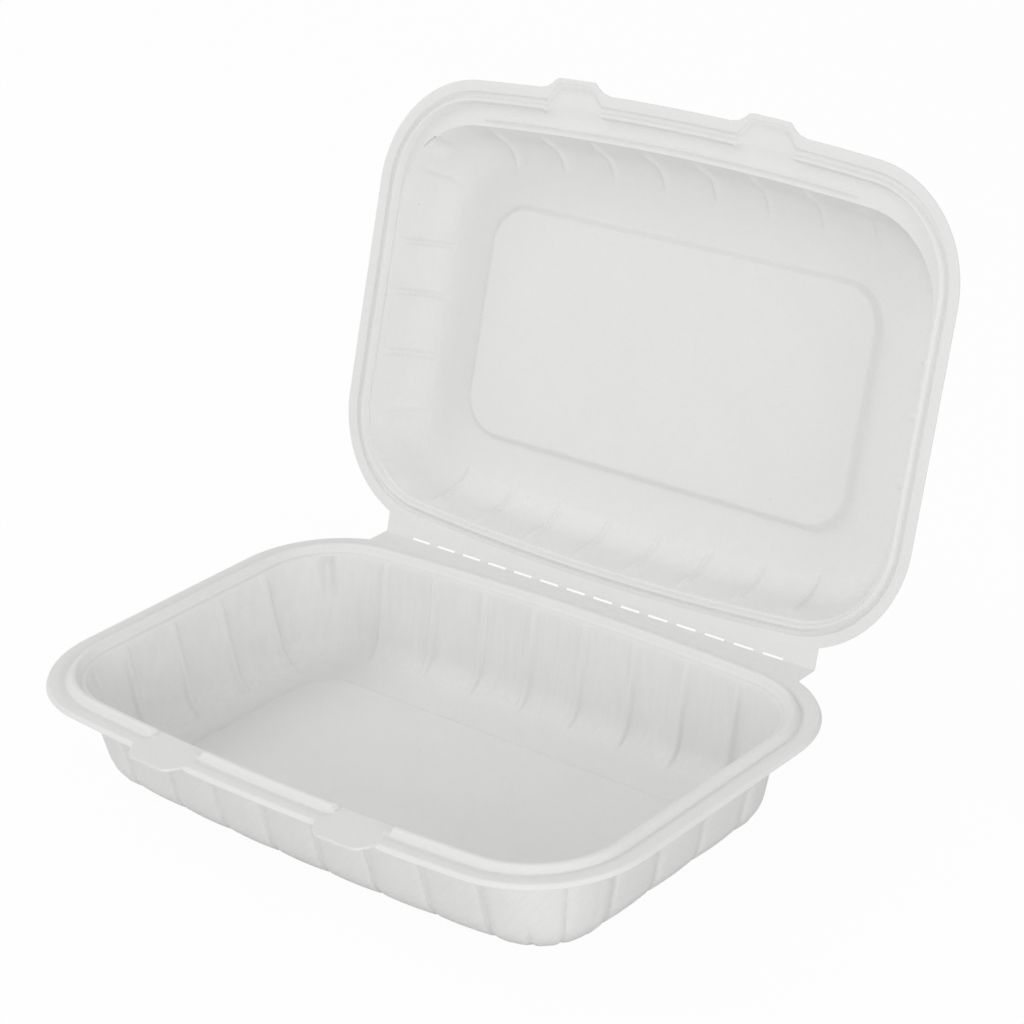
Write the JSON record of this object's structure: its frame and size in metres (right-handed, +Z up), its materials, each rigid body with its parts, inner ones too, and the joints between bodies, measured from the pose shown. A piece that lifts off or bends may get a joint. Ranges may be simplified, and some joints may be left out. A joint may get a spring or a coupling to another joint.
{
  "type": "hinged clamshell food container",
  "caption": "White hinged-lid takeout container with a ribbed tray, rolled rim and front tabs; the lid is joined by a perforated fold and stands open, leaning back.",
  "frame": {"origin": "under the middle of the tray, on the plane that it stands on", "axes": "+Z up, +Y from the front tabs to the fold and lid, X along the fold"},
  "size_m": [0.2322, 0.2252, 0.1935],
  "materials": {
    "tray_plastic": "matte",
    "lid_plastic": "matte"
  },
  "bodies": {
    "tray": {"tray": "tray_plastic"},
    "lid": {"lid": "lid_plastic"}
  },
  "joints": [
    {"name": "lid_fold", "type": "hinge", "parent": "tray", "child": "lid", "pos_m": [0, 0.0815, 0.03635], "axis": [1, 0, 0], "range_deg": [-72.5, 107.5]}
  ]
}
